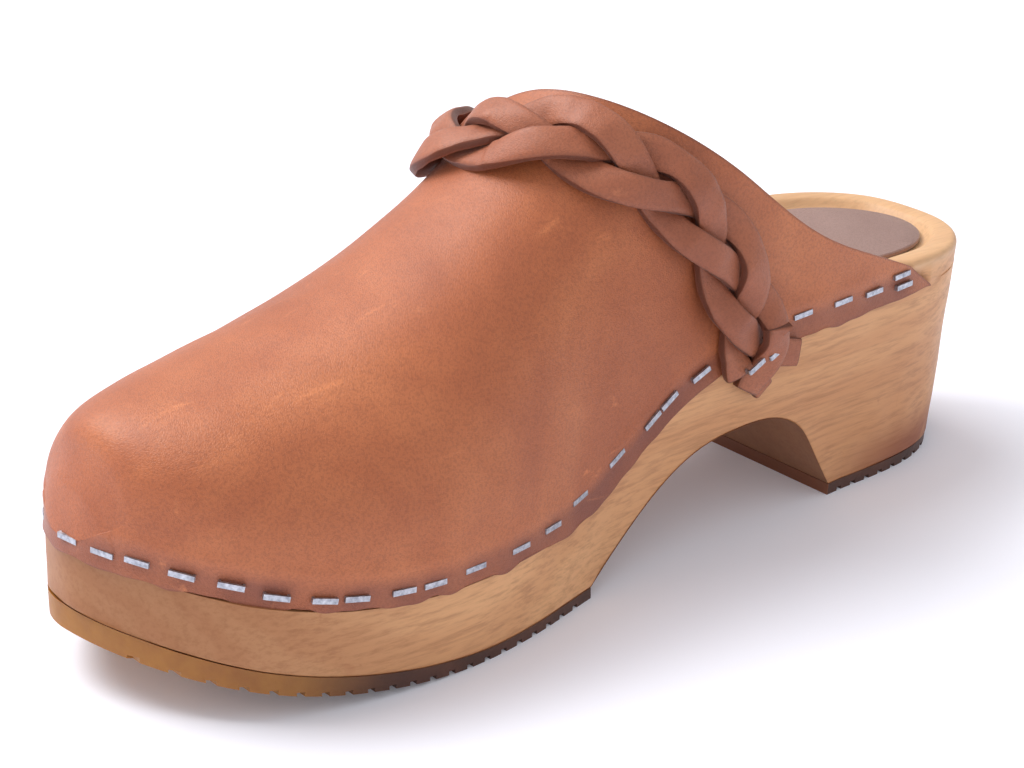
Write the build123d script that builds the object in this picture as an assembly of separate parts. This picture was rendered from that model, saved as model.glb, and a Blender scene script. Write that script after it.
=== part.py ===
from build123d import *
import math
import os

# A right-foot wooden clog with a stapled leather upper and a plaited leather strap, in millimetres.
# It is built with the tip of the toe at y = 0, the heel towards +Y, the inner (big toe) side towards +X and
# the floor at z = 0. Then it is moved so that the middle of its base is the origin.
# The sole has a shallow rebate round its upper edge. The lower band of the leather lies in it, held by wire
# staples whose legs go into the wood.

# Driving dimensions
LEATHER = 2.4
REBATE = LEATHER + 0.5  # depth of the rebate, with a glue gap
FIT = 0.05  # gap between parts that lie on each other
HEEL_TAPER = 0.12  # share of the half width lost at the floor
HEEL_RAKE = 5.6  # how much shorter the heel is at the floor
TAPER_FROM = 165.0
TAPER_FULL = 205.0
TREAD_BALL = 2.8  # rubber thickness under the ball
TREAD_TOE = 6.2  # rubber thickness under the tip
TREAD_END = 116.0
HEEL_RUBBER = 3.2
HEEL_BREAST = 200.0  # front of the heel at the floor
TOE_SPRING = 14.0  # lift of the tread at the tip
CONTACT = 81.0  # the tread leaves the floor in front of this
RIB_PITCH = 5.2
RIB_GROOVE = 1.7
GROOVE_DEPTH = 1.0
FOOTBED_RIM = 6.5  # width of the rim round the footbed
FOOTBED_DISH = 2.6
PAD = 1.2
CREST_LEAN = 4.48  # how far the crest leans inwards for each 60 of height
SIDE_POWER = 2.13
CREST_POWER = 2.02
PLAIT_PITCH = 75.0  # length of one full swing of a strand
PLAIT_SWING = 6.0
PLAIT_RISE = 2.0
PLAIT_ROLL = 0.4  # radians
STRAND_WIDTH = 6.6
STRAND_THICK = 1.4
STAPLE_CROWN = 5.8
STAPLE_WIDTH = 1.3
STAPLE_WIRE = 0.6
STAPLE_LEG = 6.0
CURVE_ROOM = 0.15  # the wall bulges towards a straight crown
SLOT_GAP = 0.05
TOE_CURVE = 20.0  # in front of this the legs pierce the leather with no slot

# Plan outline of the sole wall, from the tip of the toe to the middle of the heel's back
INNER_SIDE = [(-8, 0), (15.2, 8.4), (32.5, 25.4), (40, 48.8), (41.4, 73.5), (37.9, 97.7), (31.7, 121.6),
              (29.3, 146.1), (30.1, 170.7), (31.5, 195.3), (31.4, 219.8), (26.4, 244.1), (9.3, 260), (-3.5, 261.8)]
OUTER_SIDE = [(-8, 0), (-26.5, 7.5), (-39.5, 25), (-47, 52), (-49.6, 85), (-48.8, 115), (-44.7, 145),
              (-39.4, 172), (-35, 198), (-32.3, 222), (-29, 243), (-16.5, 259.3), (-3.5, 261.8)]

# Heights along the shoe, as (y, z)
LEATHER_FOOT = [(-6, 34.5), (4.6, 32.9), (16.5, 29.8), (31.7, 25.9), (49.5, 22.4), (70, 21.2), (96, 21),
                (112, 22), (124.5, 26.7), (134, 31.4), (143, 37), (153, 42.2), (164, 45.5), (180, 47.6),
                (206, 49.5), (240, 51)]
FEATHER = [(0, 37), (25, 33), (55, 29.4), (95, 28), (125, 34), (150, 47), (175, 54), (200, 57), (240, 58.5)]
FOOTBED = [(-10, 37.5), (25, 32.6), (55, 29), (95, 27.6), (125, 33.6), (150, 46.6), (175, 53.8), (200, 58),
           (222, 58.8), (245, 57.4), (272, 55.4)]
CREST = [(0, 35.5), (6, 55.2), (16, 64.2), (32, 67), (55, 71.7), (80, 79.8), (105, 92.3), (130, 111.3),
         (160, 132.6), (195, 152), (240, 174)]
COLLAR = [(236, 47), (222, 57.9), (206, 66), (191, 73.6), (179, 82), (166, 93), (154, 102.3), (143, 109.6),
          (134, 112.6), (124, 113.5)]
ARCH = [(TREAD_END, TREAD_BALL), (126.9, 10.4), (138, 18.4), (152.7, 26.2), (168, 28.8), (178.7, 27.8),
        (187.2, 22.9), (192.8, 14.7), (HEEL_BREAST, HEEL_RUBBER)]

# Middle line of the plait over the upper, as (section angle in degrees from the inner side, y)
PLAIT_LINE = [(-20, 169), (0, 166.5), (8.5, 162.3), (17, 158), (35, 146), (55.5, 132.8), (79.5, 122.8),
              (98.5, 117.2), (108.5, 117), (121, 121), (136, 132), (152, 145), (167, 157), (180, 164), (200, 168)]
PLAIT_ENDS = [(-9, 186), (-15, 190), (-5, 195)]  # section angles where each strand starts and stops

# Staples, as (distance along the wall from the tip of the toe, height over the leather's lower edge)
INNER_STAPLES = [(3.6, 3.7), (13.4, 3.5), (22, 4.1), (32, 3.9), (42.4, 4), (51.7, 2.9), (62, 2.8), (69.3, 3.1),
                 (80.6, 3.3), (88.6, 3.2), (99.7, 3.7), (113.9, 3.6), (125.5, 4.4), (136.3, 6.8), (150.8, 6.7),
                 (163.4, 5.8), (168.9, 5.7), (179.1, 4.3), (211.1, 6.2), (224.4, 5.6), (235.3, 4.8),
                 (245.5, 6.4), (246.6, 3.3)]
OUTER_STAPLES = [(14 + 12.2 * i, 4) for i in range(12)] + [(216 + 12.4 * i, 5) for i in range(3)]
STRAP_STAPLES = [(197.4, -2.7), (203.9, -1.4)]  # over the ends of the strands, on both sides
STRAP_PROUD = 6.2

STATIONS = [0.5, 2.5, 6, 12, 20, 32, 50, 72, 95, 116, 134, 150, 166, 182, 198, 212, 225, 238]
ARC_STEPS = 12


def between(points, at):
    """Straight-line interpolation in (key, value) points sorted by key."""
    for (a, va), (b, vb) in zip(points, points[1:]):
        if at <= b:
            break
    return va + (vb - va) * (at - a) / (b - a)


def smooth(points, count=300):
    """The points with many more between them, taken along a spline."""
    curve = Spline(*points)
    found = [curve @ (i / count) for i in range(count + 1)]
    return [(p.X, p.Y) for p in found]


FOOT_LINE = smooth(LEATHER_FOOT)
FEATHER_LINE = smooth(FEATHER)
CREST_LINE = smooth([(math.sqrt(y), z) for y, z in CREST])
PLAIT_PATH = smooth(PLAIT_LINE)


def outline(inset=0.0):
    """The closed plan outline of the sole wall, moved inwards by inset."""
    loop = Spline(*(INNER_SIDE + OUTER_SIDE[-2:0:-1]), periodic=True)
    if inset == 0:
        return loop
    points = []
    for i in range(60):
        p, t = loop @ (i / 60), loop % (i / 60)
        points.append((p.X - inset * t.Y, p.Y + inset * t.X))
    return Spline(*points, periodic=True)


def outline_sides(inset):
    """The inner and outer sides of the outline at an inset, each as (y, x) points from the toe to the heel."""
    loop = outline(inset)
    points = [loop @ (i / 900) for i in range(900)]
    back = max(range(900), key=lambda i: points[i].Y)
    inner = [(p.Y, p.X) for p in points[: back + 1]]
    outer = [(p.Y, p.X) for p in reversed(points[back:] + points[:1])]
    return inner, outer


WALLS = {inset: outline_sides(inset) for inset in (0, LEATHER)}


def skin(y, degrees, inset=0):
    """A point of the upper on its section at y. 0 degrees is the inner feather edge and 180 the outer one.
    Angles outside that range run down the sole wall."""
    inner, outer = WALLS[inset]
    right, left = between(inner, y), between(outer, y)
    centre, half = (right + left) / 2, (right - left) / 2
    rise = max(between(CREST_LINE, math.sqrt(max(y, 0))) - between(FEATHER_LINE, y) - inset, 0.5)
    angle = math.radians(min(max(degrees, 0), 180))
    c, s = math.cos(angle), math.sin(angle)
    along = math.copysign(abs(c) ** (2 / SIDE_POWER), c)
    up = rise * s ** (2 / CREST_POWER)
    down = 0.8 * max(-degrees, degrees - 180, 0)
    x = centre + half * along + CREST_LEAN / 60 / rise * up**2
    return Vector(x, y, between(FEATHER_LINE, y) + up - down)


def section(y, inset, drop):
    """One closed cross-section of the upper's volume, with its sides carried down by drop."""
    points = [skin(y, 180 * i / ARC_STEPS, inset) for i in range(ARC_STEPS + 1)]
    arc = Spline(*points, tangents=[(0, 0, 1), (0, 0, -1)])
    foot = between(FOOT_LINE, y) - drop
    start, end = arc @ 0, arc @ 1
    low_start, low_end = Vector(start.X, y, foot), Vector(end.X, y, foot)
    return Face(Wire([Line(low_start, start), arc, Line(end, low_end), Line(low_end, low_start)]))


def upper_volume(inset, drop, push, over):
    """The solid inside the upper's outer or inner surface, with its toe pushed back and its rear end over."""
    stations = [y + push * max(0, 1 - y / 60) for y in STATIONS[:-1]] + [STATIONS[-1] + over]
    return loft([section(y, inset, drop) for y in stations])


def across(points, corners):
    """A profile in the YZ plane, a spline through the points closed by corners, carried across the shoe."""
    curve = Spline(*[(0, y, z) for y, z in points])
    ends = [curve @ 1] + [Vector(0, y, z) for y, z in corners] + [curve @ 0]
    sides = [Line(a, b) for a, b in zip(ends, ends[1:])]
    return extrude(Face(Wire([curve] + sides)), 90, dir=(1, 0, 0), both=True)


def prism(inset=0.0):
    """The plan outline carried straight up, from under the floor."""
    return Pos(0, 0, -8) * extrude(Face(Wire([outline(inset)])), 130, dir=(0, 0, 1))


def lowered(x, y):
    """Where a point of the outline is at the floor, where the heel is narrower."""
    share = min(max((y - TAPER_FROM) / (TAPER_FULL - TAPER_FROM), 0), 1)
    back = max(y - TAPER_FULL, 0) / (261.8 - TAPER_FULL)
    return x * (1 - HEEL_TAPER * share), y - HEEL_RAKE * back


def tapered_body():
    """The sole's wall from the floor to above the rim."""
    loop = outline()
    points = [loop @ (i / 60) for i in range(60)]
    low = [lowered(p.X, p.Y) for p in points]
    high = [(2 * p.X - x, 2 * p.Y - y) for p, (x, y) in zip(points, low)]
    rim = 57.5
    faces = [
        Face(Wire([Spline(*[(x, y, 0) for x, y in low], periodic=True)])),
        Face(Wire([Spline(*[(x, y, 2 * rim) for x, y in high], periodic=True)])),
    ]
    return loft(faces, ruled=True)


def toe_spring(y):
    """Height of the tread's lower face."""
    return TOE_SPRING * max(1 - y / CONTACT, 0) ** 2


def tread_top(y):
    """Height of the wood over the front tread."""
    return toe_spring(y) + TREAD_BALL + (TREAD_TOE - TREAD_BALL) * max(1 - y / CONTACT, 0)


def build_sole():
    """The wooden sole: heel and forefoot, arch, rebate for the leather and dished footbed."""
    front = [(y, tread_top(y)) for y in (-10, 8, 26, 44, 62, CONTACT)]
    under_toe = across(front, [(CONTACT, -20), (-10, -20)])
    under_ball = Pos(0, (CONTACT + TREAD_END) / 2, 0) * Box(200, TREAD_END - CONTACT + 1, 2 * TREAD_BALL)
    under_arch = across(ARCH, [(HEEL_BREAST, -20), (TREAD_END, -20)])
    under_heel = Pos(0, HEEL_BREAST + 50, 0) * Box(200, 100, 2 * HEEL_RUBBER)
    above = across(FOOTBED, [(272, 200), (-10, 200)])
    body = tapered_body() - under_toe - under_ball - under_arch - under_heel - above
    band = across(LEATHER_FOOT, [(240, 200), (-6, 200)]) - mouth(0.4)
    body = body - (band - (prism(REBATE) & Pos(0, 153, 50) * Box(200, 300, 200)))
    dish = across([(y, z - FOOTBED_DISH) for y, z in FOOTBED], [(272, 200), (-10, 200)]) & prism(FOOTBED_RIM)
    return body - dish


def mouth(shift=0.0):
    """The space behind and above the collar."""
    line = [(y + shift, z + shift) for y, z in COLLAR]
    return across(line, [(124, 220), (300, 220), (300, 47)])


def build_upper():
    """The leather shell: outer volume less inner volume, cut along the collar."""
    shell = upper_volume(0, 0, 0, 0) - upper_volume(LEATHER, 4, LEATHER - STATIONS[0], 2)
    return shell - mouth()


def build_sock():
    """The leather pad on the footbed under the foot's heel."""
    low, high = FOOTBED_DISH - FIT, FOOTBED_DISH - FIT - PAD
    slab = across([(y, z - low) for y, z in FOOTBED], [(272, 200), (-10, 200)])
    slab -= across([(y, z - high) for y, z in FOOTBED], [(272, 200), (-10, 200)])
    oval = Pos(-0.5, 224, 40) * extrude(Ellipse(21, 29).face(), 40)
    return slab & oval


def grooves(start, end, floor, reach):
    """Cutters for the tread's cross grooves, from each side up to a central land."""
    found = []
    count = int((end - start) / RIB_PITCH)
    for i in range(count):
        y = start + RIB_PITCH * (i + 0.5)
        for side in (-1, 1):
            found.append(Pos(side * (reach + 50), y, floor(y)) * Box(100, RIB_GROOVE, 2 * GROOVE_DEPTH))
    return found


def build_front_tread():
    """The ribbed rubber under the forefoot. It turns up at the toe with the wood."""
    lower = [(y, toe_spring(y)) for y in (-10, 8, 26, 44, 62, CONTACT)]
    upper = [(y, tread_top(y) - FIT) for y in (-10, 8, 26, 44, 62, CONTACT)]
    toe = across(upper, [(CONTACT, -20), (-10, -20)]) - across(lower, [(CONTACT, -20), (-10, -20)])
    thick = TREAD_BALL - FIT
    ball = Pos(0, (CONTACT + TREAD_END) / 2, thick / 2) * Box(200, TREAD_END - CONTACT, thick)
    return ((toe + ball) & prism()) - grooves(3, TREAD_END - 3, toe_spring, 9)


def build_heel_tread():
    """The ribbed rubber under the heel."""
    thick = HEEL_RUBBER - FIT
    slab = Pos(0, HEEL_BREAST + 50, thick / 2) * Box(200, 100, thick)
    return (tapered_body() & slab) - grooves(HEEL_BREAST + 2, 254, lambda y: 0, 9)


def plait_frame(degrees, sideways):
    """A point of the upper beside the plait's middle line, with the outward normal there."""
    def middle(a):
        return skin(between(PLAIT_PATH, a), a)

    y = between(PLAIT_PATH, degrees)
    forward = (middle(degrees + 0.5) - middle(degrees - 0.5)).normalized()
    along_y = skin(y + 0.5, degrees) - skin(y - 0.5, degrees)
    normal = forward.cross(along_y).normalized()
    normal = normal if normal.dot(middle(degrees) - Vector(0, y, 30)) > 0 else -normal
    across_way = normal.cross(forward)
    step = skin(y, degrees + 0.5) - skin(y, degrees - 0.5)
    a, b, c = along_y.dot(along_y), along_y.dot(step), step.dot(step)
    p, q = along_y.dot(across_way), step.dot(across_way)
    det = a * c - b * b
    dy, da = (p * c - q * b) / det, (q * a - p * b) / det
    point = skin(y + dy * sideways, degrees + da * sideways)
    return point, normal


def plait_lengths():
    """Distance along the plait's middle line for each whole degree from -20 to 200."""
    found, total, last = [], 0, None
    for a in range(-20, 201):
        point, normal = plait_frame(a, 0)
        total += (point - last).length if last else 0
        found.append((total, a))
        last = point
    return found


LENGTHS = plait_lengths()


def strand_point(distance, turn):
    """Centre of a strand and the surface normal, at a distance along the plait."""
    t = 2 * math.pi * distance / PLAIT_PITCH + turn
    point, normal = plait_frame(between(LENGTHS, distance), PLAIT_SWING * math.sin(t))
    lift = PLAIT_RISE * (1 + math.sin(2 * t)) + STRAND_THICK / 2 + STRAND_WIDTH / 2 * math.sin(PLAIT_ROLL)
    return point + normal * lift, normal


def build_strand(index):
    """One flat strand of the plait."""
    turn = 2 * math.pi * index / 3
    start, stop = [between([(a, d) for d, a in LENGTHS], a) for a in PLAIT_ENDS[index]]
    count = 60
    sections = []
    for i in range(count + 1):
        distance = start + (stop - start) * i / count
        centre, normal = strand_point(distance, turn)
        ahead, behind = strand_point(distance + 0.5, turn)[0], strand_point(distance - 0.5, turn)[0]
        direction = (ahead - behind).normalized()
        flat = normal.cross(direction).normalized()
        roll = PLAIT_ROLL * math.cos(3 * (2 * math.pi * distance / PLAIT_PITCH + turn))
        width_way = flat * math.cos(roll) + direction.cross(flat) * math.sin(roll)
        plane = Plane(origin=centre, x_dir=width_way, z_dir=direction)
        sections.append(plane * Rectangle(STRAND_WIDTH, STRAND_THICK).face())
    return loft(sections)


def staple(place, along, outward, proud):
    """A wire staple, its crown proud of the wall and its legs reaching into the wood."""
    plane = Plane(origin=place, x_dir=along, z_dir=outward)
    middle = proud + STAPLE_WIRE / 2
    leg = STAPLE_LEG + proud
    body = Pos(0, 0, middle) * Box(STAPLE_CROWN, STAPLE_WIDTH, STAPLE_WIRE)
    for side in (-1, 1):
        x = side * (STAPLE_CROWN - STAPLE_WIRE) / 2
        body += Pos(x, 0, middle - leg / 2) * Box(STAPLE_WIRE, STAPLE_WIDTH, leg)
    return plane * body


def leg_slots(place, along, outward):
    """Cutters through the leather for a staple's two legs."""
    plane = Plane(origin=place, x_dir=along, z_dir=outward)
    size = (STAPLE_WIRE + 2 * SLOT_GAP, STAPLE_WIDTH + 2 * SLOT_GAP, 12)
    reach = (STAPLE_CROWN - STAPLE_WIRE) / 2
    return [plane * Pos(side * reach, 0, 0) * Box(*size) for side in (-1, 1)]


def staple_places():
    """Name, point on the wall, directions along it and outwards, and the crown's height, of every staple."""
    found = []
    for name, stations, sign in (("inner", INNER_STAPLES, 1), ("outer", OUTER_STAPLES, -1)):
        for i, station in enumerate(sorted(stations + STRAP_STAPLES)):
            proud = STRAP_PROUD if station in STRAP_STAPLES else FIT + CURVE_ROOM
            found.append((f"staple_{name}_{i + 1:02d}", *wall_place(*station, sign), proud))
    return found


def wall_place(distance, rise, sign):
    """The point at a distance along the wall from the tip, with the directions along and out of the wall."""
    loop = outline()
    share = sign * distance / loop.length % 1
    p, t = loop @ share, loop % share
    height = between(FOOT_LINE, p.Y) + rise
    slope = (between(FOOT_LINE, p.Y + 1) - between(FOOT_LINE, p.Y - 1)) / 2
    out = Vector(t.Y, -t.X, 0).normalized()
    along = Vector(t.X, t.Y, slope * t.Y).normalized()
    return Vector(p.X, p.Y, height), along, out


def main():
    os.makedirs("parts", exist_ok=True)
    parts = {"wooden_sole": build_sole(), "leather_upper": build_upper(), "heel_sock": build_sock(),
             "front_tread": build_front_tread(), "heel_tread": build_heel_tread()}
    for index in range(3):
        parts[f"plait_strand_{index + 1}"] = build_strand(index)
    slots = {"wooden_sole": [], "leather_upper": []}
    for name, place, along, out, proud in staple_places():
        parts[name] = staple(place, along, out, proud)
        slots["wooden_sole"] += leg_slots(place, along, out)
        if place.Y > TOE_CURVE:
            slots["leather_upper"] += leg_slots(place, along, out)
    for name, cutters in slots.items():
        parts[name] -= cutters
    boxes = [shape.bounding_box() for shape in parts.values()]
    centre_x = (min(b.min.X for b in boxes) + max(b.max.X for b in boxes)) / 2
    centre_y = (min(b.min.Y for b in boxes) + max(b.max.Y for b in boxes)) / 2
    base = min(b.min.Z for b in boxes)
    print("moved by", -centre_x, -centre_y, -base)
    for name, shape in parts.items():
        export_step(Pos(-centre_x, -centre_y, -base) * shape, f"parts/{name}.step")


main()
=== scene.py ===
import bpy
import math
import numpy as np
from mathutils import Matrix, Vector


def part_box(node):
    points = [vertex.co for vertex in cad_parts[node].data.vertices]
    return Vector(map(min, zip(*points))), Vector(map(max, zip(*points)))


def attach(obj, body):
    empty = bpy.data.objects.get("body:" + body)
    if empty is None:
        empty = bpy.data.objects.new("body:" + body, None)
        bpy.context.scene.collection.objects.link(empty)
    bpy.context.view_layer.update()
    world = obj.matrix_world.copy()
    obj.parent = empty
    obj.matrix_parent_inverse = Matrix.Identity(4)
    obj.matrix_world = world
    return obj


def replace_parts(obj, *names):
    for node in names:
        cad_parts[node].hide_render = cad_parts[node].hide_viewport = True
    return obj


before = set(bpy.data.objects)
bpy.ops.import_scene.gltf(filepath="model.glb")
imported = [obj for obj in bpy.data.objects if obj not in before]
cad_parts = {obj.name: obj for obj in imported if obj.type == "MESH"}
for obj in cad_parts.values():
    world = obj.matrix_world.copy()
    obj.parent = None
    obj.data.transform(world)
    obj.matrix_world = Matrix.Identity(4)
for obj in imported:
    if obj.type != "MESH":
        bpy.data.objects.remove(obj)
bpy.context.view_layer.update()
MM = 0.001

# The design axes put the toe's tip at y = 0 and +X on the inner side. The sole's box sets them in the frame.
BALL_SIDE = 41.52  # x of the sole's inner side at the ball
HEEL_BACK = 261.73  # y of the heel's back
sole_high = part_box("wooden_sole")[1]
SHIFT = np.array([sole_high[0] / MM - BALL_SIDE, sole_high[1] / MM - HEEL_BACK, 0.0])

SIDE_POWER = 2.13  # roundness of the upper's section at its sides
CREST_POWER = 2.02
CREST_LEAN = 4.48  # how far the crest leans inwards for each 60 of height
TREAD_BALL = 2.8  # rubber thickness under the ball
TREAD_TOE = 6.2  # rubber thickness under the tip
TREAD_END = 116
TOE_SPRING = 14.0  # lift of the tread at the tip
CONTACT = 81.0  # the tread leaves the floor in front of this
HEEL_RUBBER = 3.2
HEEL_BREAST = 200  # front of the heel at the floor
HEEL_TAPER = 0.12  # share of the half width lost at the floor
HEEL_RAKE = 5.6  # how much shorter the heel is at the floor
TAPER_FROM, TAPER_FULL, TAPER_TOP = 165, 205, 57.5
FOOTBED_DISH = 2.6
REBATE = 2.7
STAPLE_HALF = 0.65  # half the width of the staples' wire

# Plan outline of the sole's wall, from the tip of the toe to the middle of the heel's back, in millimetres
INNER_SIDE = [(-8, 0), (15.2, 8.4), (32.5, 25.4), (40, 48.8), (41.4, 73.5), (37.9, 97.7), (31.7, 121.6),
              (29.3, 146.1), (30.1, 170.7), (31.5, 195.3), (31.4, 219.8), (26.4, 244.1), (9.3, 260),
              (-3.5, 261.8)]
OUTER_SIDE = [(-8, 0), (-26.5, 7.5), (-39.5, 25), (-47, 52), (-49.6, 85), (-48.8, 115), (-44.7, 145),
              (-39.4, 172), (-35, 198), (-32.3, 222), (-29, 243), (-16.5, 259.3), (-3.5, 261.8)]
# Heights along the shoe, as (y, z)
LEATHER_FOOT = [(-6, 34.5), (4.6, 32.9), (16.5, 29.8), (31.7, 25.9), (49.5, 22.4), (70, 21.2), (96, 21),
                (112, 22), (124.5, 26.7), (134, 31.4), (143, 37), (153, 42.2), (164, 45.5), (180, 47.6),
                (206, 49.5), (240, 51)]
FEATHER = [(0, 37), (25, 33), (55, 29.4), (95, 28), (125, 34), (150, 47), (175, 54), (200, 57), (240, 58.5)]
FOOTBED = [(-10, 37.5), (25, 32.6), (55, 29), (95, 27.6), (125, 33.6), (150, 46.6), (175, 53.8), (200, 58),
           (222, 58.8), (245, 57.4), (272, 55.4)]
CREST = [(0, 35.5), (6, 55.2), (16, 64.2), (32, 67), (55, 71.7), (80, 79.8), (105, 92.3), (130, 111.3),
         (160, 132.6), (195, 152), (240, 174)]
# The collar's edge over the upper, as (section angle in degrees from the inner side, y)
COLLAR = [(0, 222), (5, 204), (10, 191), (16, 181), (28, 167), (42, 154), (58, 143), (76, 135), (90, 131.5)]
COLLAR_OUTER = [(104, 129.5), (113, 130), (124, 134), (138, 145), (152, 160), (164, 174), (170, 187),
                (175, 201), (180, 222)]
ARCH = [(TREAD_END, TREAD_BALL), (126.9, 10.4), (138, 18.4), (152.7, 26.2), (168, 28.8), (178.7, 27.8),
        (187.2, 22.9), (192.8, 14.7), (HEEL_BREAST, HEEL_RUBBER)]
# The plait's middle line, as (section angle, y)
PLAIT_LINE = [(-20, 169), (0, 166.5), (8.5, 162.3), (17, 158), (35, 146), (55.5, 132.8), (79.5, 122.8),
              (98.5, 117.2), (108.5, 117), (121, 121), (136, 132), (152, 145), (167, 157), (180, 164),
              (200, 168)]
# Distances along the plait where a strand dives at its rear edge: the weave is tighter near the wood
WEAVE = [(-23, -2), (-5, -1), (13, 0), (32.5, 1), (57, 2), (80.5, 3), (104, 4), (129, 5), (153, 6), (177, 7),
         (200, 8), (222, 9)]
PLAIT_SWING, PLAIT_RISE, PLAIT_ROLL = 6.2, 2.4, 0.2
LEATHER = 2.4


def natural(points, count=800):
    """A natural cubic spline through the points, by chord length, sampled finely."""
    p = np.array(points, float)
    t = np.concatenate([[0], np.cumsum(np.linalg.norm(np.diff(p, axis=0), axis=1))])
    h = np.diff(t)
    n = len(p)
    a = np.zeros((n, n))
    b = np.zeros((n, p.shape[1]))
    a[0, 0] = a[-1, -1] = 1
    for i in range(1, n - 1):
        a[i, i - 1], a[i, i], a[i, i + 1] = h[i - 1], 2 * (h[i - 1] + h[i]), h[i]
        b[i] = 6 * ((p[i + 1] - p[i]) / h[i] - (p[i] - p[i - 1]) / h[i - 1])
    m = np.linalg.solve(a, b)
    u = np.linspace(0, t[-1], count)
    k = np.clip(np.searchsorted(t, u, side="right") - 1, 0, n - 2)
    left, right = (t[k + 1] - u)[:, None], (u - t[k])[:, None]
    hk = h[k][:, None]
    return (m[k] * left**3 + m[k + 1] * right**3) / (6 * hk) + (p[k] / hk - m[k] * hk / 6) * left + (
        p[k + 1] / hk - m[k + 1] * hk / 6) * right


def closed(points, count=2400):
    """A closed smooth curve through the points, starting at the first."""
    wrap = 4
    ring = points[-wrap:] + points + points[: wrap + 1]
    fine = natural(ring, 24000)
    first = np.argmin(np.linalg.norm(fine - np.array(points[0]), axis=1))
    half = fine[first + 2000:]
    last = first + 2000 + np.argmin(np.linalg.norm(half - np.array(points[0]), axis=1))
    run = fine[first:last]
    d = np.concatenate([[0], np.cumsum(np.linalg.norm(np.diff(run, axis=0), axis=1))])
    u = np.linspace(0, d[-1], count, endpoint=False)
    return np.stack([np.interp(u, d, run[:, 0]), np.interp(u, d, run[:, 1])], 1)


OUTLINE = closed(INNER_SIDE + OUTER_SIDE[-2:0:-1])
FOOT_LINE, FEATHER_LINE = natural(LEATHER_FOOT), natural(FEATHER)
FOOTBED_LINE, ARCH_LINE = natural(FOOTBED), natural(ARCH)
CREST_LINE = natural([(math.sqrt(y), z) for y, z in CREST])
COLLAR_LINE = natural(COLLAR + COLLAR_OUTER)
PLAIT_CURVE = natural(PLAIT_LINE)


def at(line, v):
    return np.interp(v, line[:, 0], line[:, 1])


back = np.argmax(OUTLINE[:, 1])
tip = np.argmin(OUTLINE[:200, 1])
RIGHT = OUTLINE[tip:back + 1]
LEFT = np.concatenate([OUTLINE[back:], OUTLINE[: tip + 1]])[::-1]


def sides(y):
    """The x of the inner and the outer side of the wall at y."""
    return np.interp(y, RIGHT[:, 1], RIGHT[:, 0]), np.interp(y, LEFT[:, 1], LEFT[:, 0])


def skin(y, degrees):
    """Points of the upper's outer face. 0 degrees is the inner feather edge, 180 the outer one, and angles
    outside that range run down the wall."""
    y, degrees = np.broadcast_arrays(np.asarray(y, float), np.asarray(degrees, float))
    right, left = sides(y)
    centre, half = (right + left) / 2, (right - left) / 2
    y0 = np.clip(y, 0, None)
    rise = np.maximum(at(CREST_LINE, np.sqrt(y0)) - at(FEATHER_LINE, y), 0.5)
    rise = rise * np.clip(np.sqrt(y0 / 3), 0.02, 1)
    a = np.radians(np.clip(degrees, 0, 180))
    c, s = np.cos(a), np.sin(a)
    along = np.sign(c) * np.abs(c) ** (2 / SIDE_POWER)
    up = rise * np.abs(s) ** (2 / CREST_POWER)
    down = 0.8 * np.maximum(np.maximum(-degrees, degrees - 180), 0)
    x = centre + half * along + CREST_LEAN / 60 / rise * up**2
    return np.stack([x, y, at(FEATHER_LINE, y) + up - down], -1)


def noise(p, scale, seed):
    """Smooth noise from a few waves, roughly -1 to 1. scale is the wave length in millimetres."""
    r = np.random.default_rng(seed)
    k = r.normal(size=(10, 3))
    k /= np.linalg.norm(k, axis=1)[:, None]
    k *= 2 * np.pi / scale * r.uniform(0.6, 1.5, 10)[:, None]
    phase = r.uniform(0, 2 * np.pi, 10)
    return np.sin(p @ k.T + phase).sum(-1) / 3.2


def grid_normals(g, wrap=False):
    """Unit normals of a grid of points (rows, columns, 3): row direction cross column direction."""
    a = np.gradient(g, axis=0)
    if wrap:
        b = (np.roll(g, -1, 1) - np.roll(g, 1, 1)) / 2
    else:
        b = np.gradient(g, axis=1)
    n = np.cross(a, b)
    return n / np.maximum(np.linalg.norm(n, axis=-1, keepdims=True), 1e-9)


def mesh_object(name, verts, faces, material, smooth_angle=40):
    """A mesh piece from millimetre points, riding the root body."""
    mesh = bpy.data.meshes.new(name)
    mesh.from_pydata(((np.asarray(verts) + SHIFT) * MM).tolist(), [], [tuple(f) for f in faces])
    mesh.validate()
    mesh.update()
    for p in mesh.polygons:
        p.use_smooth = True
    obj = bpy.data.objects.new(name, mesh)
    bpy.context.scene.collection.objects.link(obj)
    mesh.materials.append(material)
    bpy.context.view_layer.objects.active = obj
    obj.select_set(True)
    bpy.ops.object.shade_smooth_by_angle(angle=math.radians(smooth_angle))
    obj.select_set(False)
    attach(obj, "root")
    return obj


def quads(rows, cols, start=0, wrap=False, flip=False):
    """Faces of a grid of points."""
    out = []
    last = cols if wrap else cols - 1
    for i in range(rows - 1):
        for j in range(last):
            k = (j + 1) % cols
            row, after = start + i * cols, start + (i + 1) * cols
            q = (row + j, row + k, after + k, after + j)
            out.append(q[::-1] if flip else q)
    return out


# ---------------------------------------------------------------- materials

def tree(name):
    mat = bpy.data.materials.new(name)
    mat.use_nodes = True
    nt = mat.node_tree
    return mat, nt, nt.nodes["Principled BSDF"]


def add(nt, kind, inputs=None, **props):
    node = nt.nodes.new(kind)
    for key, value in props.items():
        setattr(node, key, value)
    for key, value in (inputs or {}).items():
        if isinstance(value, bpy.types.NodeSocket):
            nt.links.new(value, node.inputs[key])
        else:
            node.inputs[key].default_value = value
    return node


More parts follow.
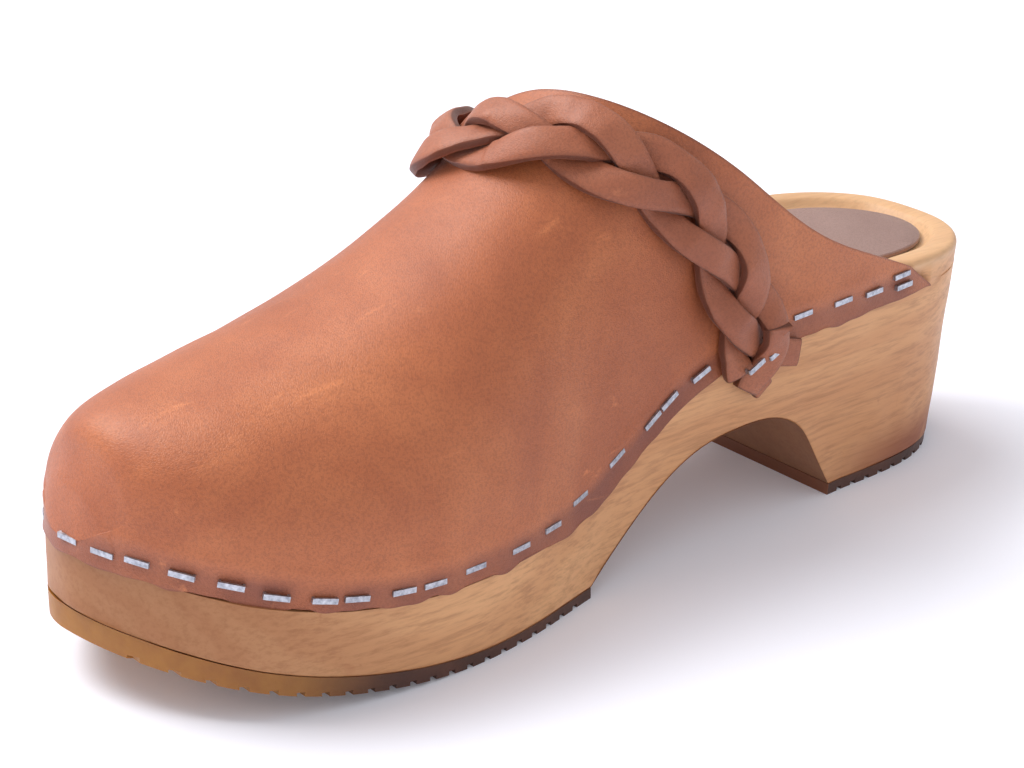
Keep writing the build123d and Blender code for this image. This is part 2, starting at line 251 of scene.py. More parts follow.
def coords(nt, scale=(1, 1, 1), location=(0, 0, 0), rotation=(0, 0, 0)):
    tc = add(nt, "ShaderNodeTexCoord")
    m = add(nt, "ShaderNodeMapping", {"Vector": tc.outputs["Object"], "Scale": scale, "Location": location,
                                       "Rotation": rotation})
    return m.outputs["Vector"]


def tex_noise(nt, vec, scale, detail=4.0, rough=0.55, distortion=0.0):
    n = add(nt, "ShaderNodeTexNoise", {"Vector": vec, "Scale": scale, "Detail": detail, "Roughness": rough,
                                        "Distortion": distortion})
    return n.outputs["Fac"]


def ramp(nt, fac, stops):
    node = add(nt, "ShaderNodeValToRGB", {"Fac": fac})
    e = node.color_ramp.elements
    while len(e) < len(stops):
        e.new(0.5)
    for item, (pos, col) in zip(e, stops):
        item.position = pos
        item.color = (*col, 1) if len(col) == 3 else col
    return node.outputs["Color"]


def span(nt, value, low, high, out_low=0.0, out_high=1.0):
    n = add(nt, "ShaderNodeMapRange", {"Value": value, "From Min": low, "From Max": high, "To Min": out_low,
                                       "To Max": out_high}, interpolation_type="SMOOTHSTEP")
    return n.outputs["Result"]


def blend_colour(nt, fac, a, b, mode="MIX"):
    n = add(nt, "ShaderNodeMix", data_type="RGBA", blend_type=mode)
    for key, value in ((0, fac), (6, a), (7, b)):
        if isinstance(value, bpy.types.NodeSocket):
            nt.links.new(value, n.inputs[key])
        else:
            n.inputs[key].default_value = value if key == 0 else (*value, 1)
    return n.outputs[2]


def maths(nt, op, a, b=0.0):
    n = add(nt, "ShaderNodeMath", operation=op)
    for key, value in ((0, a), (1, b)):
        if isinstance(value, bpy.types.NodeSocket):
            nt.links.new(value, n.inputs[key])
        else:
            n.inputs[key].default_value = value
    return n.outputs[0]


def bump(nt, height, strength, distance, normal=None):
    inputs = {"Height": height, "Strength": strength, "Distance": distance}
    if normal is not None:
        inputs["Normal"] = normal
    return add(nt, "ShaderNodeBump", inputs).outputs["Normal"]


def srgb(r, g, b):
    """Linear values of a colour given in 0 to 255."""
    shares = (r / 255, g / 255, b / 255)
    return tuple(c / 12.92 if c <= 0.04045 else ((c + 0.055) / 1.055) ** 2.4 for c in shares)


def leather_material(name, light, mid, dark, attribute=False, cloud=1.0):
    mat, nt, bsdf = tree(name)
    vec = coords(nt)
    clouds = tex_noise(nt, vec, 17.0, 4.0, 0.55, 0.5)
    fine = tex_noise(nt, vec, 95.0, 5.0, 0.65)
    base = ramp(nt, clouds, [(0.22, dark), (0.5, mid), (0.8, light)])
    mottled = blend_colour(nt, span(nt, fine, 0.35, 0.75, 0.0, 0.22 * cloud), base, dark)
    if attribute:
        edge = add(nt, "ShaderNodeAttribute", attribute_name="edge")
        mottled = blend_colour(nt, edge.outputs["Fac"], mottled, tuple(c * 0.42 for c in dark))
        press = add(nt, "ShaderNodeAttribute", attribute_name="press")
        mottled = blend_colour(nt, press.outputs["Fac"], mottled, srgb(128, 66, 48))
    scuffs = tex_noise(nt, coords(nt, (1, 0.25, 0.8), rotation=(0.5, 0, 0.2)), 210.0, 4.0, 0.6, 0.6)
    patches = span(nt, tex_noise(nt, vec, 24.0, 2.0), 0.5, 0.62)
    scuffs = maths(nt, "MULTIPLY", span(nt, scuffs, 0.6, 0.74, 0.0, 0.5), patches)
    mottled = blend_colour(nt, scuffs, mottled, tuple(c * 1.25 for c in light))
    speck = tex_noise(nt, vec, 1500.0, 2.0, 0.6)
    mottled = blend_colour(nt, span(nt, speck, 0.42, 0.66, 0.0, 0.26), mottled, tuple(c * 0.5 for c in dark))
    nt.links.new(mottled, bsdf.inputs["Base Color"])
    grain = add(nt, "ShaderNodeTexVoronoi", {"Vector": vec, "Scale": 1900.0, "Randomness": 1.0},
                feature="DISTANCE_TO_EDGE")
    pores = tex_noise(nt, vec, 2300.0, 3.0, 0.6)
    wrinkle = tex_noise(nt, coords(nt, (1, 1, 1.4)), 190.0, 6.0, 0.62, 0.15)
    n1 = bump(nt, span(nt, grain.outputs["Distance"], 0.0, 0.3), 0.3, 0.0002)
    n2 = bump(nt, pores, 0.4, 0.00015, n1)
    n3 = bump(nt, wrinkle, 0.05, 0.0005, n2)
    nt.links.new(n3, bsdf.inputs["Normal"])
    rough = span(nt, clouds, 0.3, 0.7, 0.58, 0.48)
    nt.links.new(rough, bsdf.inputs["Roughness"])
    bsdf.inputs["Specular IOR Level"].default_value = 0.55
    bsdf.inputs["Sheen Weight"].default_value = 0.08
    bsdf.inputs["Sheen Roughness"].default_value = 0.5
    bsdf.inputs["Coat Weight"].default_value = 0.22
    bsdf.inputs["Coat Roughness"].default_value = 0.52
    return mat


def wood_material():
    mat, nt, bsdf = tree("honey_wood")
    vec = coords(nt)
    rings = coords(nt, (1.0, 0.12, 1.0), rotation=(0.06, 0.12, 0.05))
    warp = tex_noise(nt, rings, 9.0, 3.0, 0.5)
    grain = add(nt, "ShaderNodeTexWave", {"Vector": rings, "Scale": 38.0, "Distortion": 5.0, "Detail": 3.0,
                                          "Detail Scale": 1.2, "Detail Roughness": 0.6}, wave_type="RINGS",
                rings_direction="Y")
    fibre = tex_noise(nt, coords(nt, (1.0, 0.07, 1.0)), 800.0, 4.0, 0.7)
    pale, honey, deep = srgb(240, 192, 144), srgb(228, 174, 124), srgb(202, 142, 96)
    colour = ramp(nt, warp, [(0.3, deep), (0.48, honey), (0.7, pale)])
    colour = blend_colour(nt, span(nt, grain.outputs["Fac"], 0.2, 0.95, 0.0, 0.42), colour, deep)
    colour = blend_colour(nt, span(nt, fibre, 0.4, 0.72, 0.0, 0.45), colour, srgb(150, 98, 62))
    # Patchy darkening of the heel's lower part, strongest near the floor.
    heel_foot_patches = tex_noise(nt, vec, 36.0, 4.0, 0.6, 1.0)
    split = add(nt, "ShaderNodeSeparateXYZ", {"Vector": vec})
    low = span(nt, split.outputs["Z"], 0.004, 0.019, 1.0, 0.0)
    heel = span(nt, split.outputs["Y"], 0.06, 0.1, 0.0, 1.0)
    heel_foot_darkening = maths(nt, "MULTIPLY", maths(nt, "MULTIPLY", low, heel), span(nt, heel_foot_patches, 0.3, 0.5))
    colour = blend_colour(nt, maths(nt, "MULTIPLY", heel_foot_darkening, 0.8), colour, srgb(136, 66, 42))
    spots = span(nt, tex_noise(nt, vec, 70.0, 3.0, 0.55, 1.5), 0.66, 0.74)
    colour = blend_colour(nt, maths(nt, "MULTIPLY", spots, 0.35), colour, srgb(160, 92, 56))
    # Painted shade: the wood is darkened towards the toe to stand for the shade on the toe's front wall.
    toe = span(nt, split.outputs["Y"], -0.128, -0.045, 0.75, 0.0)
    colour = blend_colour(nt, toe, colour, srgb(140, 80, 36))
    # Painted highlight: the heel's rim top and footbed (the rim attribute) are lightened.
    rim = add(nt, "ShaderNodeAttribute", attribute_name="rim")
    colour = blend_colour(nt, maths(nt, "MULTIPLY", rim.outputs["Fac"], 0.55), colour, srgb(214, 176, 136))
    # Painted shade: the sole's underside, which faces the floor, is darkened.
    underside_shade = add(nt, "ShaderNodeAttribute", attribute_name="underside_shade")
    colour = blend_colour(nt, maths(nt, "MULTIPLY", underside_shade.outputs["Fac"], 0.7), colour, srgb(104, 56, 32))
    nt.links.new(colour, bsdf.inputs["Base Color"])
    n1 = bump(nt, fibre, 0.18, 0.0002)
    n2 = bump(nt, tex_noise(nt, vec, 60.0, 3.0, 0.5), 0.15, 0.001, n1)
    nt.links.new(n2, bsdf.inputs["Normal"])
    bsdf.inputs["Roughness"].default_value = 0.48
    bsdf.inputs["Specular IOR Level"].default_value = 0.4
    bsdf.inputs["Subsurface Weight"].default_value = 0.06
    bsdf.inputs["Subsurface Radius"].default_value = (0.004, 0.002, 0.001)
    return mat


BREAST = (HEEL_BREAST + SHIFT[1]) * MM  # the front face of the heel's rubber


def rubber_material(name, front):
    mat, nt, bsdf = tree(name)
    vec = coords(nt)
    streak = tex_noise(nt, coords(nt, (1, 1, 1)), 60.0, 4.0, 0.6)
    dark = ramp(nt, streak, [(0.3, srgb(58, 32, 22)), (0.7, srgb(92, 54, 38))])
    if front:
        split = add(nt, "ShaderNodeSeparateXYZ", {"Vector": vec})
        amber = ramp(nt, streak, [(0.3, srgb(144, 86, 24)), (0.7, srgb(176, 118, 40))])
        # Painted shade: the amber tread is darkened towards its rear, where it lies in shade.
        rear_shade = span(nt, split.outputs["Y"], -0.116, -0.074)
        colour = blend_colour(nt, rear_shade, amber, dark)
        nt.links.new(colour, bsdf.inputs["Base Color"])
        nt.links.new(span(nt, split.outputs["Y"], -0.125, -0.07, 0.35, 0.0), bsdf.inputs["Subsurface Weight"])
        bsdf.inputs["Subsurface Radius"].default_value = (0.006, 0.003, 0.001)
    else:
        split = add(nt, "ShaderNodeSeparateXYZ", {"Vector": vec})
        front_face = span(nt, split.outputs["Y"], BREAST - 0.0002, BREAST + 0.0004, 1.0, 0.0)
        nt.links.new(blend_colour(nt, front_face, dark, srgb(140, 84, 54)), bsdf.inputs["Base Color"])
    bsdf.inputs["Roughness"].default_value = 0.5
    nt.links.new(bump(nt, tex_noise(nt, vec, 300.0, 4.0, 0.6), 0.3, 0.0006), bsdf.inputs["Normal"])
    return mat


def steel_material():
    mat, nt, bsdf = tree("staple_steel")
    scratch = tex_noise(nt, coords(nt, (1, 1, 1)), 900.0, 3.0, 0.6)
    nt.links.new(ramp(nt, scratch, [(0.3, srgb(140, 142, 152)), (0.7, srgb(208, 210, 218))]),
                 bsdf.inputs["Base Color"])
    bsdf.inputs["Metallic"].default_value = 0.85
    nt.links.new(span(nt, scratch, 0.3, 0.7, 0.28, 0.45), bsdf.inputs["Roughness"])
    nt.links.new(bump(nt, scratch, 0.1, 0.0001), bsdf.inputs["Normal"])
    return mat


LIGHT, MID, DARK = srgb(214, 130, 78), srgb(184, 100, 54), srgb(152, 74, 38)
upper_leather = leather_material("upper_leather", LIGHT, MID, DARK, attribute=True)
PLAIT_TONES = srgb(188, 114, 76), srgb(168, 94, 60), srgb(142, 74, 46)
plait_leather = leather_material("plait_leather", *PLAIT_TONES, attribute=True)
SOCK_TONES = srgb(164, 130, 120), srgb(148, 114, 104), srgb(132, 98, 88)
sock_leather = leather_material("sock_leather", *SOCK_TONES, cloud=0.5)
wood = wood_material()
front_rubber = rubber_material("front_rubber", True)
heel_rubber = rubber_material("heel_rubber", False)
steel = steel_material()


def attribute(obj, name, values):
    a = obj.data.attributes.new(name, "FLOAT", "POINT")
    a.data.foreach_set("value", np.asarray(values, np.float32).ravel())


# ---------------------------------------------------------------- leather upper

staples = [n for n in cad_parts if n.startswith("staple")]
STAPLE_BOXES = np.array([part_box(n) for n in staples])
STAPLE_POINTS = STAPLE_BOXES.mean(axis=1) / MM - SHIFT


def upper_grid():
    """The outer face of the leather: rows from the toe to the collar, columns from the inner lower edge over
    the top to the outer lower edge. Also the share down the band of each column."""
    arc, band, rows = ((260, 16, 340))
    phi = 90 - 90 * np.cos(np.linspace(0, np.pi, arc))
    phi = 0.5 * phi + 0.5 * np.linspace(0, 180, arc)
    down = np.linspace(1, 0, band, endpoint=False)
    degrees = np.concatenate([np.zeros(band), phi, np.full(band, 180.0)])
    q = np.concatenate([down, np.zeros(arc), down[::-1]])
    end = np.where(q > 0, 222 + 9.5 * q, at(COLLAR_LINE, degrees))
    r = np.linspace(0, 1, rows) ** 1.6
    y = RIGHT[0, 1] + r[:, None] * (end[None, :] - RIGHT[0, 1])
    points = skin(y, np.broadcast_to(degrees, y.shape))
    foot, top = at(FOOT_LINE, y), at(FEATHER_LINE, y)
    points[..., 2] -= (top - foot) * q[None, :]
    return points, degrees, q


outer, degrees, q = upper_grid()
rows, cols = outer.shape[:2]
normals = grid_normals(outer)
centre_point = np.array([-3.0, 110.0, 40.0])
if (normals[rows // 2, cols // 2] * (outer[rows // 2, cols // 2] - centre_point)).sum() < 0:
    normals = -normals
tip_share = np.clip(outer[..., 1:2] / 0.6, 0, 1)
steep = np.sin(np.radians(degrees))[None, :, None]
nose = np.concatenate([np.zeros_like(steep), steep - 1.0001, steep * 0.8], -1)
normals = normals * tip_share + nose / np.linalg.norm(nose, axis=-1, keepdims=True) * (1 - tip_share)
normals /= np.linalg.norm(normals, axis=-1, keepdims=True)
near = np.full((rows, cols), 1e9)
flat = outer.reshape(-1, 3)
for p in STAPLE_POINTS:
    near = np.minimum(near, np.linalg.norm(flat - p, axis=1).reshape(rows, cols))
line_down = np.abs(outer[..., 2] - at(FOOT_LINE, outer[..., 1]) - 4.0)
on_side = (np.minimum(degrees, 180 - degrees) < 25)[None, :]
press = np.exp(-(line_down / 3.2) ** 2) * on_side
band_dark = np.clip((at(FOOT_LINE, outer[..., 1]) + 8.0 - outer[..., 2]) / 3.5, 0, 1) * on_side
lift = 0.30 + 0.35 * noise(outer, 46, 3) + 0.10 * noise(outer, 17, 4)
lift = np.where(outer[..., 1] < 4, 0.3, lift)
lift -= 0.35 * press * np.exp(-(near / 5.0) ** 2)
lift += 0.25 * np.exp(-((line_down - 4.5) / 2.0) ** 2) * on_side
face = outer + normals * lift[..., None]
edge_wave = 0.35 * np.sin(face[..., 1] / 3.1) * 0.5 + 0.4 * noise(face, 9, 5)
face[..., 2] -= np.where(q[None, :] > 0.99, edge_wave, 0)
inside = face - normals * LEATHER
skip = rows // 6
count = rows * cols
verts = np.concatenate([face.reshape(-1, 3), inside.reshape(-1, 3)])
faces = quads(rows, cols) + quads(rows - skip, cols, count + skip * cols, flip=True)
for j in range(cols - 1):
    a, b = (rows - 1) * cols + j, (rows - 1) * cols + j + 1
    faces.append((a, b, count + b, count + a))
for i in range(skip, rows - 1):
    for j, turn in ((0, False), (cols - 1, True)):
        a, b = i * cols + j, (i + 1) * cols + j
        face4 = (a, b, count + b, count + a)
        faces.append(face4[::-1] if not turn else face4)
upper = mesh_object("upper", verts, faces, upper_leather, 50)
collar_edge = np.zeros((2, rows, cols))
collar_edge[1, -1, :] = 1.0
collar_edge[0, -1, :] = 0.55
collar_edge[:, :, 0] = collar_edge[:, :, -1] = 0.5
attribute(upper, "edge", collar_edge)
pressed = np.zeros((2, rows, cols))
pressed[0] = band_dark * (0.55 + 0.2 * noise(outer, 21, 9)) + 0.4 * np.exp(-(near / 3.2) ** 2)
pressed = np.clip(pressed, 0, 0.85)
attribute(upper, "press", pressed)
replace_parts(upper, "leather_upper")


# ---------------------------------------------------------------- plait

def plait_frame(degrees, sideways):
    """Points of the upper beside the plait's middle line, with the outward normals there."""
    def middle(a):
        return skin(at(PLAIT_CURVE, a), a)

    y = at(PLAIT_CURVE, degrees)
    forward = middle(degrees + 0.5) - middle(degrees - 0.5)
    forward /= np.linalg.norm(forward, axis=1)[:, None]
    along_y = skin(y + 0.5, degrees) - skin(y - 0.5, degrees)
    normal = np.cross(forward, along_y)
    normal /= np.linalg.norm(normal, axis=1)[:, None]
    out = middle(degrees) - np.stack([np.zeros_like(y), y, np.full_like(y, 30)], 1)
    normal *= np.sign((normal * out).sum(1))[:, None]
    way = np.cross(normal, forward)
    step = skin(y, degrees + 0.5) - skin(y, degrees - 0.5)
    a, b, c = (along_y**2).sum(1), (along_y * step).sum(1), (step**2).sum(1)
    p, r = (along_y * way).sum(1), (step * way).sum(1)
    det = a * c - b * b
    dy, da = (p * c - r * b) / det, (r * a - p * b) / det
    return skin(y + dy * sideways, degrees + da * sideways), normal


line_angles = np.arange(-20.0, 200.5, 0.5)
line_points, _ = plait_frame(line_angles, np.zeros_like(line_angles))
line_length = np.concatenate([[0], np.cumsum(np.linalg.norm(np.diff(line_points, axis=0), axis=1))])


def weave(distance, turn):
    """The strand's angle in its figure of eight at a distance along the plait."""
    d, n = np.array(WEAVE, float).T
    fine = np.interp(distance[:, None] + np.linspace(-7, 7, 15)[None], d, n).mean(1)
    return 2 * np.pi / 3 * (fine + 0.84) + turn


def strand_centre(distance, turn):
    t = weave(distance, turn)
    angle = np.interp(distance, line_length, line_angles)
    point, normal = plait_frame(angle, PLAIT_SWING * np.sin(t))
    to_end = np.minimum(distance - distance[0], distance[-1] - distance)
    flattened = 0.35 + 0.65 * np.clip(to_end / 13, 0, 1)
    lift = PLAIT_RISE * (1 + np.sin(2 * t)) * flattened + 1.6
    return point + normal * lift[:, None], normal


def ribbon(name, centres, normal, roll, width, thick, seed, cup=0.35):
    """A leather strip along the centres: a rounded, slightly cupped section with raw cut edges and painted
    shade on its underside.
    """
    n = len(centres)
    direction = np.gradient(centres, axis=0)
    direction /= np.linalg.norm(direction, axis=1)[:, None]
    flat = np.cross(normal, direction)
    flat /= np.linalg.norm(flat, axis=1)[:, None]
    up = np.cross(direction, flat)
    wide = flat * np.cos(roll)[:, None] + up * np.sin(roll)[:, None]
    high = np.cross(direction, wide)
    high *= np.sign((high * normal).sum(1))[:, None]
    m = 13
    u = np.linspace(-1, 1, m)
    top = np.stack([u * width / 2, thick / 2 * (1 - 0.25 * np.abs(u) ** 8) - cup * u**2], 1)
    v = u[::-1]
    bottom = np.stack([v * width / 2, -thick / 2 * (1 - 0.12 * np.abs(v) ** 8) - cup * v**2], 1)
    side = [(width / 2 + 0.1, 0.2 * thick), (width / 2 + 0.1, -0.2 * thick)]
    right = np.array([(x, z - cup) for x, z in side])
    left = np.array([(-x, -z - cup) for x, z in side])
    ring = np.concatenate([top, right, bottom, left])
    cut = np.zeros(len(ring))
    cut[m:m + 2] = cut[-2:] = 1.0
    cut[[0, m - 1]] = 0.35
    # Painted shade: the strip's underside is darkened; the darkened sides are the raw cut edges.
    cut[m + 2:m + 2 + m] = 0.6
    uneven = 1 + 0.05 * noise(centres, 18, seed)
    pts = centres[:, None, :] + (ring[None, :, 0:1] * uneven[:, None, None]) * wide[:, None, :]
    pts = pts + ring[None, :, 1:2] * high[:, None, :]
    pts = pts + high[:, None, :] * (0.12 * noise(pts, 7, seed + 1))[..., None]
    k = len(ring)
    verts = pts.reshape(-1, 3)
    faces = quads(n, k, wrap=True)
    caps = []
    for row in (0, n - 1):
        base = row * k
        caps.append(tuple(range(base, base + k)) if row else tuple(range(base + k - 1, base - 1, -1)))
    obj = mesh_object(name, verts, faces + caps, plait_leather, 45)
    values = np.tile(cut, n)
    values[:k] = values[-k:] = 1.0
    attribute(obj, "edge", values * 0.9)
    attribute(obj, "press", np.zeros(len(values)))
    return obj


ENDS = [(-9, 186), (-17, 190), (-5, 195)]
for index in range(3):
    turn = 2 * np.pi * index / 3
    start, stop = np.interp(ENDS[index], line_angles, line_length)
    steps = 420
    distance = np.linspace(start, stop, steps)
    centres, normal = strand_centre(distance, turn)
    roll = PLAIT_ROLL * np.cos(3 * weave(distance, turn))
    strand = ribbon(f"strand_{index + 1}", centres, normal, roll, 7.5, 2.5, 30 + index)
    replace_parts(strand, f"plait_strand_{index + 1}")


def wall_strip(name, points, proud, width, thick, seed):
    """A flat strip on the inner wall along (y, z) points."""
    fine = natural(points, 60)
    x = sides(fine[:, 0])[0] + proud
    centres = np.stack([x, fine[:, 0], fine[:, 1]], 1)
    out = np.tile([1.0, 0.0, 0.0], (60, 1))
    return ribbon(name, centres, out, np.zeros(60), width, thick, seed, cup=0.05)


wall_strip("strap_end_rear", [(168, 50.5), (174, 47.6), (182, 45.4)], 1.6, 6.8, 1.9, 51)
wall_strip("strap_end_low", [(166.5, 47), (168.5, 42.5), (171.5, 38.2)], 1.4, 5.6, 2.2, 52)


def wire_faces(sections):
    """Side faces of a wire with four corners at each section."""
    faces = []
    for i in range(sections - 1):
        for j in range(4):
            k = (j + 1) % 4
            faces.append((i * 4 + j, i * 4 + k, i * 4 + 4 + k, i * 4 + 4 + j))
    return faces


def wire_staple(name, y, z, proud, slope, side):
    """A staple over a strap end: a flat crown with its shoulders turned in."""
    along = np.array([0, math.cos(slope), math.sin(slope)])
    up_way = np.array([0, -math.sin(slope), math.cos(slope)])
    wall_x = sides(y)[0 if side > 0 else 1]
    base = np.array([wall_x + side * proud, y, z])
    path = [(-2.8, -1.6), (-2.8, -0.15), (-2.5, 0.12), (2.5, 0.12), (2.8, -0.15), (2.8, -1.6)]
    w = STAPLE_HALF
    verts = []
    for a, h in path:
        for dw, dh in ((-w, 0), (w, 0), (w, -0.5), (-w, -0.5)):
            squeeze = 1 - 0.5 / 2.8 if dh else 1
            out = np.array([side * (h + dh * (abs(a) < 2.6)), 0, 0])
            verts.append(base + along * a * squeeze + up_way * dw + out)
    return mesh_object(name, verts, wire_faces(len(path)), steel, 30)


# The strap's two staples on each side, as (y, z, how far their crowns stand off the wall)
STRAP_PLACES = {"inner": ((165.3, 47.0, 6.0), (171.4, 49.3, 6.3)),
                "outer": ((161.5, 46.0, 5.4), (168.5, 47.5, 5.4))}
for word, side in (("inner", 1), ("outer", -1)):
    reach = [n for n in staples if word in n and 155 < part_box(n)[0][1] / MM - SHIFT[1] < 185]
    proudest = sorted(reach, key=lambda n: side * (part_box(n)[0][0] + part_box(n)[1][0]))[-2:]
    for n, (y, z, proud) in zip(sorted(proudest), STRAP_PLACES[word]):
        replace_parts(wire_staple(n + "_wire", y, z, proud, 0.45, side), n)


def curved_staple(name, distance, rise):
    """A staple on the tight curve of the toe's outer side, its crown bent to the wall."""
    spacing = np.linalg.norm(OUTLINE[1] - OUTLINE[0])
    leg, shoulder = (-1.4, -0.9), (-0.5, 0.0)
    crown = [(a, -0.4, 0.3) for a in (-2.5, -1.2, 0, 1.2, 2.5)]
    path = [(-2.9, *leg), (-2.9, *shoulder)] + crown + [(2.9, *shoulder), (2.9, *leg)]
    w = STAPLE_HALF
    verts = []
    for a, low_h, high_h in path:
        i = int(round(-(distance + a) / spacing)) % len(OUTLINE)
        x, y = OUTLINE[i]
        t = OUTLINE[(i + 3) % len(OUTLINE)] - OUTLINE[i - 3]
        out = np.array([t[1], -t[0], 0]) / np.linalg.norm(t)
        base = np.array([x, y, at(FOOT_LINE, y) + rise])
        for dz, h in ((-w, high_h), (w, high_h), (w, low_h), (-w, low_h)):
            verts.append(base + out * h + np.array([0, 0, dz]))
    return mesh_object(name, verts, wire_faces(len(path)), steel, 30)


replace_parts(curved_staple("staple_outer_01_wire", 14.0, 2.6), "staple_outer_01")

# ---------------------------------------------------------------- wooden sole

def toe_spring(y):
    """Height of the tread's lower face."""
    return TOE_SPRING * np.maximum(1 - y / CONTACT, 0) ** 2


def under(y):
    """Height of the wood's lower face."""
    front = toe_spring(y) + TREAD_BALL + (TREAD_TOE - TREAD_BALL) * np.maximum(1 - y / CONTACT, 0)
    arch = at(ARCH_LINE, y)
    return np.where(y < TREAD_END, front, np.where(y < HEEL_BREAST, arch, HEEL_RUBBER))


def taper(p, z):
    """The wall is narrower and shorter at the heel's foot."""
    lower = np.clip((TAPER_TOP - z) / TAPER_TOP, 0, 1)
    share = np.clip((p[:, 1] - TAPER_FROM) / (TAPER_FULL - TAPER_FROM), 0, 1) * lower
    rear = np.clip((p[:, 1] - TAPER_FULL) / (261.8 - TAPER_FULL), 0, 1) * lower
    return np.stack([p[:, 0] * (1 - HEEL_TAPER * share), p[:, 1] - HEEL_RAKE * rear, z], 1)


def inset(p, distance):
    """The outline moved inwards."""
    t = np.roll(p, -1, 0) - np.roll(p, 1, 0)
    t /= np.linalg.norm(t, axis=1)[:, None]
    return p + np.stack([-t[:, 1], t[:, 0]], 1) * np.reshape(distance, (-1, 1))


def shrunk(p, f):
    """The outline scaled towards the sole's long middle line."""
    y = 130.9 + (p[:, 1] - 130.9) * f
    right, left = sides(p[:, 1])
    right2, left2 = sides(y)
    x = (right2 + left2) / 2 + (p[:, 0] - (right + left) / 2) * f
    return np.stack([x, y], 1)


EDGE = 1.8  # radius of the rim's outer edge
ring = OUTLINE[:: 2]
y0 = ring[:, 1]
ledge = REBATE * np.clip((232 - y0) / 3.0, 0, 1)
foot_z = at(FOOT_LINE, y0)
low_z = under(y0)
rim_z = at(FOOTBED_LINE, y0)
rings = []
p = inset(ring, 0.3)
rings.append(taper(p, low_z + 0.02))
for share in (0.0, 0.03, 0.1, 0.2, 0.3, 0.4, 0.5, 0.6, 0.7, 0.8, 0.9, 0.97, 1.0):
    z = low_z + 0.5 + (foot_z - low_z - 0.6) * share
    rings.append(taper(ring, z))
rings.append(taper(inset(ring, ledge), foot_z + 0.05))
ledge_top = REBATE * np.clip((224 - y0) / 5.0, 0, 1)
for share in (0.3, 0.6, 1.0):
    step_in = ledge * (1 - share) + ledge_top * share
    rings.append(taper(inset(ring, step_in), foot_z + (rim_z - EDGE - foot_z) * share))
for a in np.linspace(0, np.pi / 2, 7)[1:]:
    rings.append(taper(inset(ring, ledge_top + EDGE * (1 - math.cos(a))), rim_z - EDGE + EDGE * math.sin(a)))
rings.append(taper(inset(ring, 5.6), rim_z))
for a in np.linspace(0, 1, 6)[1:]:
    rings.append(taper(inset(ring, 5.6 + 3.0 * a), rim_z - FOOTBED_DISH * (3 * a**2 - 2 * a**3)))
for f in (0.8, 0.6, 0.4, 0.2, 0.0):
    p = shrunk(inset(ring, 8.6), f)
    rings.append(taper(p, at(FOOTBED_LINE, p[:, 1]) - FOOTBED_DISH))
grid = np.stack(rings)
wall = slice(1, 14)
bulge = 0.25 * noise(grid[wall], 34, 11) + 0.12 * noise(grid[wall], 13, 12)
inwards = inset(ring, 1.0) - ring
grid[wall][..., :2] -= bulge[..., None] * inwards[None]
# The underside: rows straight across the shoe, each from a point of the inner wall to the outer wall
half = np.argmax(ring[:, 1])
inner_low = ring[: half + 1]
ACROSS = 24
share = np.linspace(0, 1, ACROSS)[:, None]
left_x = sides(inner_low[:, 1])[1]
under_rows = []
for (x, y), x_left, z in zip(inner_low, left_x, under(inner_low[:, 1])):
    row = np.concatenate([x + (x_left - x) * share, np.full((ACROSS, 1), y)], 1)
    under_rows.append(taper(row, np.full(ACROSS, z)))
underside = np.stack(under_rows)
underside[..., 2] += 0.02
faces = quads(len(rings), len(ring), wrap=True)
faces += quads(half + 1, ACROSS, start=grid.shape[0] * grid.shape[1])
verts = np.concatenate([grid.reshape(-1, 3), underside.reshape(-1, 3)])
sole = mesh_object("sole", verts, faces, wood, 35)
# Painted highlight: marks the rim's top and the footbed over the heel for lightening in the wood's colour.
rim_highlight = np.zeros(grid.shape[:2])
rim_highlight[wall.stop + 3:] = 1.0
rim_highlight *= np.clip((grid[..., 1] - 150) / 30, 0, 1)
below = len(underside) * ACROSS
attribute(sole, "rim", np.concatenate([rim_highlight.ravel(), np.zeros(below)]))
# Painted shade: the whole underside is marked for darkening.
attribute(sole, "underside_shade", np.concatenate([np.zeros(rim_highlight.size), np.ones(below)]))
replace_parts(sole, "wooden_sole")

# ---------------------------------------------------------------- heel pad

low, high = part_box("heel_sock")
pad_centre = (np.array(low) + np.array(high)) / 2 / MM - SHIFT
pad_half = (np.array(high) - np.array(low)) / 2 / MM
turns = np.linspace(0, 2 * np.pi, 160, endpoint=False)
pads = []
for f, dz in ((1.0, 0.0), (1.0, 0.9), (0.985, 1.2), (0.8, 1.25), (0.55, 1.25), (0.3, 1.25), (0.0, 1.25)):
    x = pad_centre[0] + pad_half[0] * f * np.cos(turns)
    y = pad_centre[1] + pad_half[1] * f * np.sin(turns)
    pads.append(np.stack([x, y, at(FOOTBED_LINE, y) - FOOTBED_DISH + dz + 0.05], 1))
grid = np.stack(pads)
faces = quads(len(pads), len(turns), wrap=True)
pad = mesh_object("heel_pad", grid.reshape(-1, 3), faces, sock_leather, 40)
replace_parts(pad, "heel_sock")

# ---------------------------------------------------------------- CAD pieces that show

for name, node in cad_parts.items():
    if name.startswith("staple"):
        node.data.materials.clear()
        node.data.materials.append(steel)
    elif name in ("front_tread", "heel_tread"):
        node.data.materials.clear()
        node.data.materials.append(front_rubber if name == "front_tread" else heel_rubber)

# ---------------------------------------------------------------- stage, light and camera

floor_mesh = bpy.data.meshes.new("floor")
floor_mesh.from_pydata([(-4, -4, 0), (4, -4, 0), (4, 4, 0), (-4, 4, 0)], [], [(0, 1, 2, 3)])
floor = bpy.data.objects.new("floor", floor_mesh)
bpy.context.scene.collection.objects.link(floor)
floor_mat, nt, bsdf = tree("paper")
bsdf.inputs["Base Color"].default_value = (0.88, 0.9, 0.98, 1)
bsdf.inputs["Roughness"].default_value = 0.8
bsdf.inputs["Specular IOR Level"].default_value = 0.1
bsdf.inputs["Emission Color"].default_value = (0.93, 0.92, 1.0, 1)
bsdf.inputs["Emission Strength"].default_value = 0.09
floor_mesh.materials.append(floor_mat)

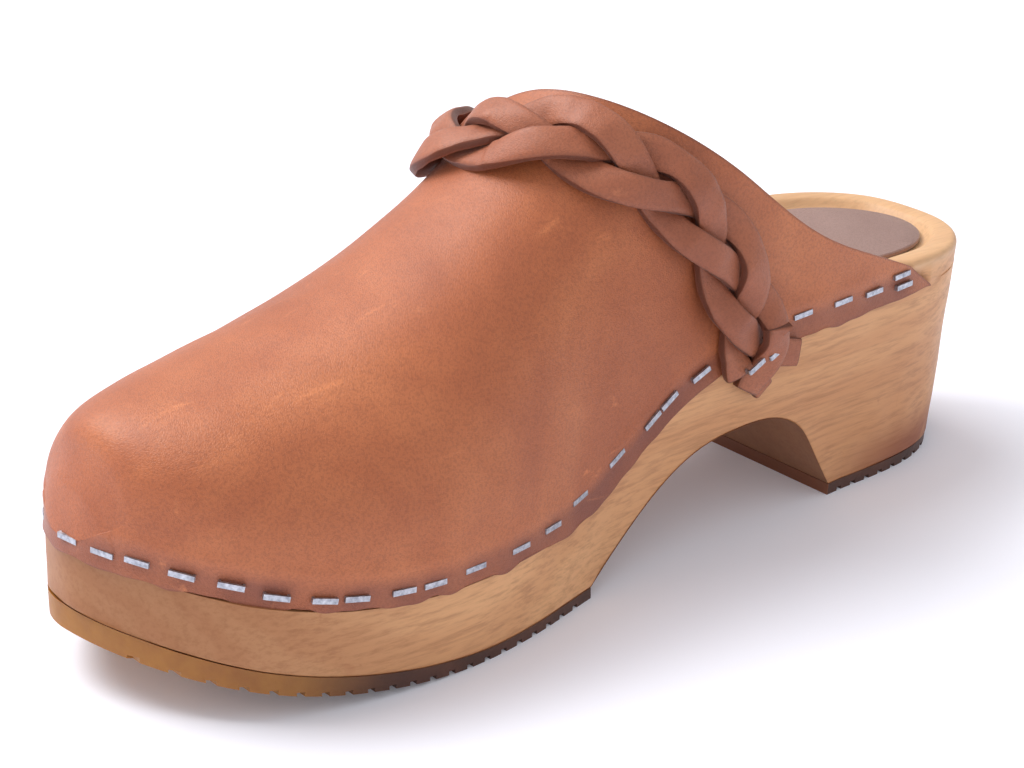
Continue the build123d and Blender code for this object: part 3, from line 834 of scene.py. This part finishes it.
world = bpy.data.worlds.new("studio")
bpy.context.scene.world = world
world.use_nodes = True
world.node_tree.nodes["Background"].inputs["Color"].default_value = (1.0, 0.985, 1.0, 1)
world.node_tree.nodes["Background"].inputs["Strength"].default_value = 0.58


def area(name, place, target, size, power, colour=(1, 1, 1)):
    light = bpy.data.lights.new(name, "AREA")
    light.shape = "RECTANGLE"
    light.size, light.size_y = size
    light.energy = power
    light.color = colour
    obj = bpy.data.objects.new(name, light)
    obj.location = place
    obj.rotation_euler = (Vector(target) - Vector(place)).to_track_quat("-Z", "Y").to_euler()
    bpy.context.scene.collection.objects.link(obj)


def sun(name, direction, strength, spread, colour=(1, 1, 1)):
    light = bpy.data.lights.new(name, "SUN")
    light.energy = strength
    light.angle = math.radians(spread)
    light.color = colour
    obj = bpy.data.objects.new(name, light)
    obj.rotation_euler = Vector(direction).to_track_quat("-Z", "Y").to_euler()
    bpy.context.scene.collection.objects.link(obj)


area("key", (-0.62, -0.5, 1.0), (0, -0.06, 0.05), (0.55, 0.55), 8.0, (1.0, 0.99, 0.98))
sun("sky_left", (0.6, 0.25, -1.0), 1.55, 45)
sun("sky_right", (-0.6, 0.1, -0.9), 0.2, 60)

AZIMUTH, ELEVATION, ROLL = math.radians(50.484), math.radians(22.979), math.radians(0.293)
level = math.cos(ELEVATION)
forward = Vector((-math.sin(AZIMUTH) * level, math.cos(AZIMUTH) * level, -math.sin(ELEVATION)))
right = Vector((math.cos(AZIMUTH), math.sin(AZIMUTH), 0))
up = right.cross(forward)
right, up = right * math.cos(ROLL) + up * math.sin(ROLL), up * math.cos(ROLL) - right * math.sin(ROLL)
camera_data = bpy.data.cameras.new("camera")
camera_data.lens = 90.18
camera_data.sensor_width = 36
camera_data.clip_start = 0.01
camera = bpy.data.objects.new("camera", camera_data)
place = (Vector((433.65, -238.72, 281.28)) + Vector(SHIFT.tolist())) * MM
camera.matrix_world = Matrix((
    (right.x, up.x, -forward.x, place.x),
    (right.y, up.y, -forward.y, place.y),
    (right.z, up.z, -forward.z, place.z),
    (0, 0, 0, 1)))
bpy.context.scene.collection.objects.link(camera)
bpy.context.scene.camera = camera
bpy.context.scene.view_settings.view_transform = "Standard"
